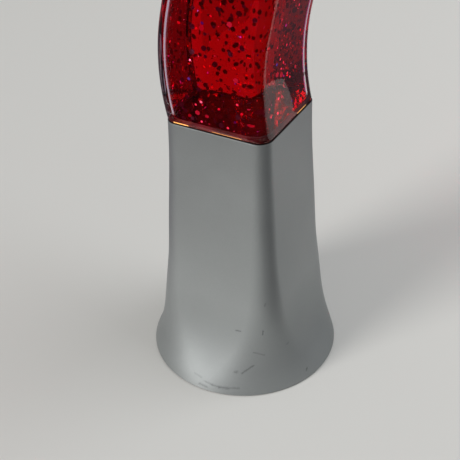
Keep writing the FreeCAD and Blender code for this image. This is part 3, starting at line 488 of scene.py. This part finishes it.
def makeEdgeAcrylic():
    # the bottle's rounded foot: painted shade at the seam, brown above it, and in a few places
    # painted glints that glow
    material, tree, shader = startMaterial("edgeAcrylic", IOR=clear["ior"],
                                           Roughness=bottleFoot["roughness"])
    shader.inputs["Transmission Weight"].default_value = 1.0
    # the glow paints the glints' light
    shader.inputs["Emission Strength"].default_value = bottleFoot["glow"]
    caught = 0.0
    for start, end, rise, width, strength in paintedGlints:
        start, end = Vector((*start, rimHeight + rise)), Vector((*end, rimHeight + rise))
        glint = useGroup(tree, scuffLine, Start=start, End=end, Width=width)["Mask"]
        caught = maths(tree, "MULTIPLY_ADD", glint, strength, caught)
    height = addNode(tree, "ShaderNodeSeparateXYZ", {0: objectPoint(tree)}).outputs["Z"]
    above = spread(tree, height, rimHeight + bottleFoot["seamShare"] * bottleFoot["rise"],
                   rimHeight + bottleFoot["rise"])
    caught = maths(tree, "MULTIPLY", caught, above)
    feed(tree, shader, Base_Color=mixColour(tree, above, bottleFoot["seamShade"], bottleFoot["tint"]),
         Emission_Color=mixColour(tree, caught, (0.0, 0.0, 0.0, 1.0), bottleFoot["caught"]))
    letLampsThrough(tree, shader.outputs[0], bottleFoot["shadow"])
    return material


glue = {
    "dark": (0.050, 0.0010, 0.0030, 1.0), "streak": (0.16, 0.004, 0.010, 1.0),
    "streakRange": (0.4, 0.65), "roughness": 0.35, "grainScale": 700.0, "blotchScale": 140.0,
}


def makeGlueLine():
    # the joint between tube and plug, dark red from the fill behind it
    material, tree, shader = startMaterial("glueLine", Roughness=glue["roughness"])
    pattern = useGroup(tree, grain, Scale=glue["grainScale"], Blotch_Scale=glue["blotchScale"])
    streaks = spread(tree, pattern["Blotch"], *glue["streakRange"])
    feed(tree, shader, Base_Color=mixColour(tree, streaks, glue["dark"], glue["streak"]))
    return material


# where acrylic and liquid touch, light bends by the ratio of the two, and the liquid's own
# skin bends it only at its free surface
wettedAcrylic = makeClearAcrylic("wettedAcrylic", clear["ior"] / liquid["ior"])
liquidSurface = makeRedLiquid("liquidSurface", liquid["ior"])
edgeAcrylic = makeEdgeAcrylic()
glueLine = makeGlueLine()

# nodes of the CAD that take another finish than their slot's
stained = {"bottle_floor": "stained_acrylic"}

for row in frame["record"]["subparts"]:
    carried = nodes[row["node"]]
    carried.data.materials.clear()
    carried.data.materials.append(finishes[stained.get(carried.name, row["material_slot"])])
print("materials ready:", len(finishes))


# Pieces

def finishPiece(name, mesh, slotName, body, smooth=True, replaced=()):
    data = bpy.data.meshes.new(name)
    mesh.to_mesh(data)
    mesh.free()
    for face in data.polygons:
        face.use_smooth = smooth
    piece = bpy.data.objects.new(name, data)
    bpy.context.scene.collection.objects.link(piece)
    data.materials.append(finishes[slotName])
    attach(piece, body)
    if replaced:
        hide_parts(*replaced)
    return piece


# the bottle's S: how far a bulge swings out, its height, and the height of the first one's middle
wave = {"swing": 0.0037, "half": 0.061, "dip": 0.030, "steps": 72, "cornerSteps": 8}


def waveBulge(rise):
    # how far an arc stands out, at a height from its middle
    radius = ((wave["half"] / 2) ** 2 + wave["swing"] ** 2) / (2 * wave["swing"])
    return math.sqrt(radius ** 2 - rise ** 2) - radius + wave["swing"]


def waveShift(height):
    # sideways place of the bottle's middle, at a height over the rim
    number = max(0, math.floor((height - wave["dip"]) / wave["half"] + 0.5))
    side = -1 if number % 2 == 0 else 1
    return waveBulge(wave["dip"]) + side * waveBulge(height - wave["dip"] - number * wave["half"])


def addSection(mesh, half, corner, height):
    # a flat rounded square across the bottle
    before = set(mesh.faces)
    place = Matrix.Translation((waveShift(height - rimHeight), 0, height))
    made = bmesh.ops.create_grid(mesh, x_segments=1, y_segments=1, size=half, matrix=place)
    bmesh.ops.bevel(mesh, geom=made["verts"], offset=corner, offset_type="OFFSET",
                    affect="VERTICES", segments=wave["cornerSteps"], profile=0.5, material=-1)
    return [face for face in mesh.faces if face not in before]


def carryUp(mesh, section, low, high, steps=wave["steps"], straight=False):
    # lengthens a section upwards, straight or along the wave, and returns its last faces
    rise = (high - low) / steps
    for step in range(steps):
        height = low + rise * step - rimHeight
        across = 0.0 if straight else waveShift(height + rise) - waveShift(height)
        grown = bmesh.ops.extrude_face_region(mesh, geom=section)["geom"]
        if step:
            bmesh.ops.delete(mesh, geom=section, context="FACES_ONLY")
        section = [item for item in grown if isinstance(item, bmesh.types.BMFace)]
        moved = [item for item in grown if isinstance(item, bmesh.types.BMVert)]
        bmesh.ops.translate(mesh, verts=moved, vec=(across, 0, rise))
    return section


# half width, wall, corner radii outside and inside, and the rounding of the two ends
bottle = {
    "half": 0.030, "wall": 0.003, "corner": 0.0072, "boreCorner": 0.0088, "edge": 0.0012,
    "edgeSteps": 4, "tolerance": 0.0001, "sharp": 35.0,
}
# material slots of the bottle's wall, after the clear one
wallSlots = {"wetted": 1, "foot": 2, "glued": 3}


def cornerReach(point):
    # distance from the square that the corner arcs turn round
    flat = bottle["half"] - bottle["corner"]
    across = abs(point.x - waveShift(point.z - rimHeight)) - flat
    return math.hypot(max(0.0, across), max(0.0, abs(point.y) - flat))


def makeBottleWall():
    low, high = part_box("bottle_tube")[0].z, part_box("bottle_tube")[1].z
    mesh = bmesh.new()
    squares = addSection(mesh, bottle["half"], bottle["corner"], low)
    squares += addSection(mesh, bottle["half"] - bottle["wall"], bottle["boreCorner"], low)
    bmesh.ops.delete(mesh, geom=squares, context="FACES_ONLY")
    ring = bmesh.ops.bridge_loops(mesh, edges=mesh.edges[:])["faces"]
    carryUp(mesh, ring, low, high)
    between = bottle["corner"] - bottle["wall"] / 2
    ends = [edge for edge in mesh.edges
            if all(min(vertex.co.z - low, high - vertex.co.z) < bottle["tolerance"]
                   and cornerReach(vertex.co) > between for vertex in edge.verts)]
    bmesh.ops.bevel(mesh, geom=ends, offset=bottle["edge"], offset_type="OFFSET", affect="EDGES",
                    segments=bottle["edgeSteps"], profile=0.5, material=-1)
    bmesh.ops.recalc_face_normals(mesh, faces=mesh.faces[:])
    wetLow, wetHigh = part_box("red_liquid")[0].z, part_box("red_liquid")[1].z
    for face in mesh.faces:
        inner = all(cornerReach(vertex.co) < between for vertex in face.verts)
        height = face.calc_center_median().z
        if inner and wetLow < height < wetHigh:
            face.material_index = wallSlots["wetted"]
        elif not inner and height < low + bottle["edge"]:
            face.material_index = wallSlots["foot"]
        elif inner and low + bottle["tolerance"] < height <= wetLow:
            face.material_index = wallSlots["glued"]
    piece = finishPiece("bottleWall", mesh, "clear_acrylic", "bottle", replaced=["bottle_tube"])
    for material in (wettedAcrylic, edgeAcrylic, glueLine):
        piece.data.materials.append(material)
    piece.data.set_sharp_from_angle(angle=math.radians(bottle["sharp"]))


# half width and corner radius, how far it reaches below its node, and the meniscus: how wide the
# raised rim is and how far the middle lies below it
fill = {
    "half": 0.02705, "corner": 0.00885, "sink": 0.0001, "meniscus": 0.0011, "hollow": 0.0007,
    "surfaceSlot": 1,
}


def makeLiquidBody():
    # the fill wets the wall: its skin lies just inside the wall's, so no air shows between them
    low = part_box("red_liquid")[0].z - fill["sink"]
    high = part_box("red_liquid")[1].z
    mesh = bmesh.new()
    top = carryUp(mesh, addSection(mesh, fill["half"], fill["corner"], low), low, high)
    rim = bmesh.ops.inset_region(mesh, faces=top, thickness=fill["meniscus"], depth=0.0)["faces"]
    hollow = {vertex for face in top for vertex in face.verts}
    bmesh.ops.translate(mesh, verts=list(hollow), vec=(0, 0, -fill["hollow"]))
    for face in top + rim:
        face.material_index = fill["surfaceSlot"]
    bmesh.ops.recalc_face_normals(mesh, faces=mesh.faces[:])
    piece = finishPiece("liquidBody", mesh, "red_liquid", "bottle", replaced=["red_liquid"])
    piece.data.materials.append(liquidSurface)


# settled and clinging are the shares of flakes that sink or lie on a wall; flash is how large a
# bright one is beside a dull one
glitter = {
    "large": 760, "largeRadius": (0.0010, 0.0017), "largeSides": 6, "spacing": 0.0030,
    "small": 900, "smallRadius": (0.00022, 0.0006), "smallSides": 5, "smallSpacing": 0.0015,
    "thickness": 0.0001, "wallGap": 0.0004, "sideGap": 0.0005, "topGap": 0.002, "settled": 0.34,
    "sunken": 3.2, "clinging": 0.45, "cling": 0.0012, "lean": 0.35, "flash": 0.52, "seed": 31,
}


def placeFlakes(draw, count, radii, spacing):
    # random places in the fill, more of them low down, none nearer to another than the spacing
    low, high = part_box("red_liquid")[0].z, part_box("red_liquid")[1].z
    lean, upright = glitter["lean"], math.pi / 2
    bend = fill["half"] - fill["corner"]
    wall = fill["half"] - glitter["cling"]
    around = (-1, 0, 1)
    places, taken = [], {}
    while len(places) < count:
        radius = draw.uniform(*radii)
        gap = radius + glitter["wallGap"]
        sinks = draw.random() < glitter["settled"]
        share = draw.random() ** glitter["sunken"] if sinks else draw.random()
        height = low + gap + (high - low - 2 * gap - glitter["topGap"]) * share
        reach = fill["half"] - gap - glitter["sideGap"]
        across, deep = draw.uniform(-reach, reach), draw.uniform(-reach, reach)
        turn = Euler([draw.uniform(0, math.tau) for _ in range(3)])
        if draw.random() < glitter["clinging"]:
            # it lies almost flat along one of the four walls
            side = draw.choice((-1, 1))
            slide = draw.uniform(-bend, bend)
            turn = Euler((draw.uniform(-lean, lean) + upright, draw.uniform(-lean, lean), 0))
            across, deep = slide, side * wall
            if draw.random() < 0.5:
                turn = Euler((draw.uniform(-lean, lean), draw.uniform(-lean, lean) + upright, 0))
                across, deep = side * wall, slide
        past = math.hypot(max(0.0, abs(across) - bend), max(0.0, abs(deep) - bend))
        if past > fill["corner"] - glitter["wallGap"]:
            continue
        place = Vector((waveShift(height - rimHeight) + across, deep, height))
        cell = tuple(int(part // spacing) for part in place)
        others = [other for dx in around for dy in around for dz in around
                  for other in taken.get((cell[0] + dx, cell[1] + dy, cell[2] + dz), ())]
        if any((place - other).length < spacing for other in others):
            continue
        taken.setdefault(cell, []).append(place)
        places.append((place, turn, radius))
    return places


def makeFlakes(count, radii, spacing, sides, draw):
    mesh = bmesh.new()
    tone = mesh.faces.layers.float.new("tone")
    for place, turn, size in placeFlakes(draw, count, radii, spacing):
        shade = draw.random()
        radius = size * (glitter["flash"] if shade > foil["paintedFlashFrom"] else 1.0)
        matrix = Matrix.Translation(place) @ turn.to_matrix().to_4x4()
        made = bmesh.ops.create_circle(mesh, cap_ends=True, segments=sides, radius=radius,
                                       matrix=matrix)
        for face in {face for vertex in made["verts"] for face in vertex.link_faces}:
            face[tone] = shade
    bmesh.ops.solidify(mesh, geom=mesh.faces[:], thickness=glitter["thickness"])
    return mesh


def makeGlitter():
    draw = random.Random(glitter["seed"])
    large = makeFlakes(glitter["large"], glitter["largeRadius"], glitter["spacing"],
                       glitter["largeSides"], draw)
    small = makeFlakes(glitter["small"], glitter["smallRadius"], glitter["smallSpacing"],
                       glitter["smallSides"], draw)
    finishPiece("glitterFlakes", large, "glitter_foil", "bottle", smooth=False,
                replaced=["glitter_flakes"])
    finishPiece("glitterDust", small, "glitter_foil", "bottle", smooth=False)


makeBottleWall()
makeLiquidBody()
makeGlitter()
print("bottle, liquid and glitter made")


# rolled threads: pitch and depth of the groove, a bore that stays plain or a sheet that follows
# the thread, and a chamfer that starts at the foot's radius
threads = {
    "bulbThread": {
        "node": "bulb_cap", "finish": "brass", "body": "bulb", "pitch": 0.00282, "depth": 0.00026,
        "bore": 0.00660, "sheet": 0.00004, "chamfer": 0.0013, "foot": 0.0056,
    },
    "holderThread": {
        "node": "holder_screw_shell", "finish": "brass", "body": "base", "pitch": 0.00282,
        "depth": 0.00022, "bore": 0.0, "sheet": 0.00016, "chamfer": 0.0, "foot": 0.0,
    },
    "nippleThread": {
        "node": "holder_nipple", "finish": "brass", "body": "base", "pitch": 0.0010,
        "depth": 0.00034, "bore": 0.0035, "sheet": 0.0, "chamfer": 0.0005, "foot": 0.0044,
    },
}
threadMesh = {"sides": 40, "ringsPerPitch": 8, "within": 0.5, "sharp": 40.0}


def threadRadius(spec, outer, rise, left, turn):
    # the crest's radius less the groove, which fades out at both ends
    fade = min(1.0, rise / spec["pitch"], left / spec["pitch"])
    groove = 0.5 - 0.5 * math.cos(math.tau * rise / spec["pitch"] - turn)
    radius = outer - spec["depth"] * fade * groove
    if rise < spec["chamfer"]:
        radius = min(radius, spec["foot"] + (outer - spec["foot"]) * rise / spec["chamfer"])
    return radius


def makeThread(name, spec):
    # a plain tube of two skins, whose vertices then move in to the groove and out to the bore
    low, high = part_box(spec["node"])
    outer = high.x
    steps = round((high.z - low.z) / spec["pitch"] * threadMesh["ringsPerPitch"])
    mesh = bmesh.new()
    for radius in (outer, outer * threadMesh["within"]):
        bmesh.ops.create_circle(mesh, segments=threadMesh["sides"], radius=radius,
                                matrix=Matrix.Translation((0, 0, low.z)))
    ring = bmesh.ops.bridge_loops(mesh, edges=mesh.edges[:])["faces"]
    carryUp(mesh, ring, low.z, high.z, steps, straight=True)
    between = outer * (1.0 + threadMesh["within"]) / 2
    for vertex in mesh.verts:
        across, deep, height = vertex.co
        turn = math.atan2(deep, across)
        radius = threadRadius(spec, outer, height - low.z, high.z - height, turn)
        if math.hypot(across, deep) < between:
            radius -= spec["sheet"]
            if spec["bore"]:
                radius = min(spec["bore"], radius)
        vertex.co = (radius * math.cos(turn), radius * math.sin(turn), height)
    bmesh.ops.recalc_face_normals(mesh, faces=mesh.faces[:])
    piece = finishPiece(name, mesh, spec["finish"], spec["body"], replaced=[spec["node"]])
    piece.data.set_sharp_from_angle(angle=math.radians(threadMesh["sharp"]))


# ribs of the filler plug's head; sunk is how far their roots reach into it
knurl = {"ribs": 44, "width": 0.00042, "depth": 0.00034, "margin": 0.0005, "sunk": 0.00005}


def makeKnurl():
    # an upright rib on the filler plug's head, with sloped ends, repeated all round it
    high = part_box("filler_plug")[1]
    bottom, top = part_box("filler_seal")[1].z + knurl["margin"], high.z - knurl["margin"]
    root, crest = high.x - knurl["sunk"], high.x + knurl["depth"]
    side, depth = knurl["width"] / 2, knurl["depth"]
    mesh = bmesh.new()
    corners = [mesh.verts.new(place) for place in (
        (root, -side, bottom), (root, side, bottom), (crest, 0, bottom + depth),
        (root, -side, top), (root, side, top), (crest, 0, top - depth))]
    for order in ((0, 1, 2), (5, 4, 3), (0, 2, 5, 3), (2, 1, 4, 5), (1, 0, 3, 4)):
        mesh.faces.new([corners[index] for index in order])
    bmesh.ops.spin(mesh, geom=mesh.verts[:] + mesh.edges[:] + mesh.faces[:], cent=(0, 0, 0),
                   axis=(0, 0, 1), angle=math.tau * (knurl["ribs"] - 1) / knurl["ribs"],
                   steps=knurl["ribs"] - 1, use_duplicate=True)
    bmesh.ops.recalc_face_normals(mesh, faces=mesh.faces[:])
    finishPiece("plugKnurl", mesh, "black_plastic", "bottle", smooth=False)


for threadName, threadSpec in threads.items():
    makeThread(threadName, threadSpec)
makeKnurl()
print("threads and knurl ready")


# Studio and camera

studio = {"half": 6.0, "colour": (0.74, 0.73, 0.70, 1.0), "roughness": 0.9}


def makePlain(name, colour):
    # it has no shine, so that the floor doesn't glare when it is seen from behind
    plain = {"Base Color": colour, "Roughness": studio["roughness"], "Specular IOR Level": 0.0}
    return startMaterial(name, **plain)[0]


def addFlat(name, mesh, material):
    data = bpy.data.meshes.new(name)
    mesh.to_mesh(data)
    mesh.free()
    data.materials.append(material)
    flat = bpy.data.objects.new(name, data)
    bpy.context.scene.collection.objects.link(flat)
    return flat


def makeStudio():
    mesh = bmesh.new()
    bmesh.ops.create_grid(mesh, x_segments=1, y_segments=1, size=studio["half"])
    floor = addFlat("studioFloor", mesh, makePlain("paleFloor", studio["colour"]))


# flat glowing cards just over the floor, which paint the surroundings, mostly dark, and the
# object's own shadow into what shines and what is clear: outline, brightness, and whether they are
# seen in what shines or else through what is clear
cards = {
    "frontCard": (((-3.0, -3.0), (3.0, -3.0), (3.0, -0.24), (-3.0, -0.24)), 0.01, True),
    "sideCard": (((0.10, -0.24), (3.0, -0.24), (3.0, 0.05), (0.10, 0.05)), 0.01, True),
    "bandCard": (((0.15, 0.05), (3.0, 0.05), (3.0, 0.15), (0.15, 0.15)), 0.01, True),
    "shadowCard": (
        ((0.05, 0.24), (0.235, 0.24), (0.215, 0.30), (0.216, 0.345), (0.262, 0.395),
         (0.303, 0.432), (0.45, 0.56), (0.45, 3.0), (0.05, 3.0)), 0.10, True),
    "farCard": (((0.45, 0.56), (3.0, 0.56), (3.0, 3.0), (0.45, 3.0)), 0.15, True),
    "throughCard": (((-0.50, -0.65), (-0.05, -0.65), (-0.05, -0.09), (-0.50, -0.09)), 0.20, False),
    "throughFarCard": (((0.05, 0.20), (3.0, 0.20), (3.0, 3.0), (0.05, 3.0)), 0.19, False),
    "throughLeftCard": (((-0.80, 0.10), (-0.23, 0.10), (-0.23, 0.90), (-0.80, 0.90)), 0.40, False),
    "leftCard": (((-3.0, -0.24), (-0.14, -0.24), (-0.14, 0.60), (-3.0, 0.60)), 0.12, True),
}
cardLift = 0.001
# the cards' pink tint is painted light, reddened by the bottle
cardTint = (1.04, 0.90, 1.10)


def makeCard(name, outline, brightness, shines):
    mesh = bmesh.new()
    mesh.faces.new([mesh.verts.new((x, y, cardLift)) for x, y in outline])
    material = makePlain(name, (0.0, 0.0, 0.0, 1.0))
    shader = material.node_tree.nodes["Principled BSDF"]
    glow = [brightness * part for part in cardTint]
    shader.inputs["Emission Color"].default_value = (*glow, 1.0)
    shader.inputs["Emission Strength"].default_value = 1.0
    card = addFlat(name, mesh, material)
    card.visible_camera = False
    card.visible_diffuse = False
    card.visible_glossy = shines
    card.visible_transmission = not shines
    card.visible_shadow = False


# the key is far off, so its size is an angle and it lights the floor evenly; the fill is a disk
lamps = {
    "key": {
        "kind": "SUN", "from": (-1.50, -2.90, 1.56), "size": math.radians(22.3), "power": 1.95,
        "colour": (1.0, 0.985, 0.96),
    },
    "fill": {
        "kind": "AREA", "from": (0.9, 0.5, 1.5), "size": 1.4, "power": 10.0,
        "colour": (0.95, 0.97, 1.0),
    },
}
target = Vector((0, 0, 0.16))


def makeLamp(name, spec):
    data = bpy.data.lights.new(name, spec["kind"])
    if spec["kind"] == "SUN":
        data.angle = spec["size"]
    else:
        data.shape = "DISK"
        data.size = spec["size"]
    data.energy = spec["power"]
    data.color = spec["colour"]
    lamp = bpy.data.objects.new(name, data)
    lamp.location = spec["from"]
    lamp.rotation_euler = (target - lamp.location).to_track_quat("-Z", "Y").to_euler()
    bpy.context.scene.collection.objects.link(lamp)


sky = {"colour": (0.96, 0.98, 1.0, 1.0), "strength": 0.36}


def makeWorld():
    world = bpy.data.worlds.new("studioWorld")
    bpy.context.scene.world = world
    world.use_nodes = True
    background = world.node_tree.nodes["Background"]
    background.inputs["Color"].default_value = sky["colour"]
    background.inputs["Strength"].default_value = sky["strength"]


# the photograph's view: where the camera stands, how it is aimed, its focal length in pixels
# of the picture's width, and the nearest that it sees
viewpoint = {
    "azimuth": 28.57, "distance": 0.4366, "height": 0.3977, "yaw": 0.995, "pitch": 36.11,
    "roll": -1.585, "focalPixels": 932.9, "widthPixels": 460.0, "sensor": 36.0, "nearest": 0.01,
}


def makeCamera():
    data = bpy.data.cameras.new("photoCamera")
    data.sensor_width = viewpoint["sensor"]
    data.lens = viewpoint["sensor"] * viewpoint["focalPixels"] / viewpoint["widthPixels"]
    data.clip_start = viewpoint["nearest"]
    azimuth, yaw, pitch, roll = (
        math.radians(viewpoint[name]) for name in ("azimuth", "yaw", "pitch", "roll"))
    heading = azimuth + yaw
    forward = Vector((-math.sin(heading) * math.cos(pitch), math.cos(heading) * math.cos(pitch),
                      -math.sin(pitch)))
    right = Vector((math.cos(heading), math.sin(heading), 0))
    up = right.cross(forward)
    turnedRight = right * math.cos(roll) + up * math.sin(roll)
    turnedUp = up * math.cos(roll) - right * math.sin(roll)
    turn = Matrix((turnedRight, turnedUp, -forward)).transposed().to_4x4()
    away = Vector((math.sin(azimuth), -math.cos(azimuth), 0)) * viewpoint["distance"]
    camera = bpy.data.objects.new("photoCamera", data)
    camera.matrix_world = Matrix.Translation(away + Vector((0, 0, viewpoint["height"]))) @ turn
    bpy.context.scene.collection.objects.link(camera)
    bpy.context.scene.camera = camera


makeStudio()
for cardName, cardSpec in cards.items():
    makeCard(cardName, *cardSpec)
for lampName, lampSpec in lamps.items():
    makeLamp(lampName, lampSpec)
makeWorld()
makeCamera()
bpy.context.scene.view_settings.view_transform = "Standard"
print("studio and camera ready")
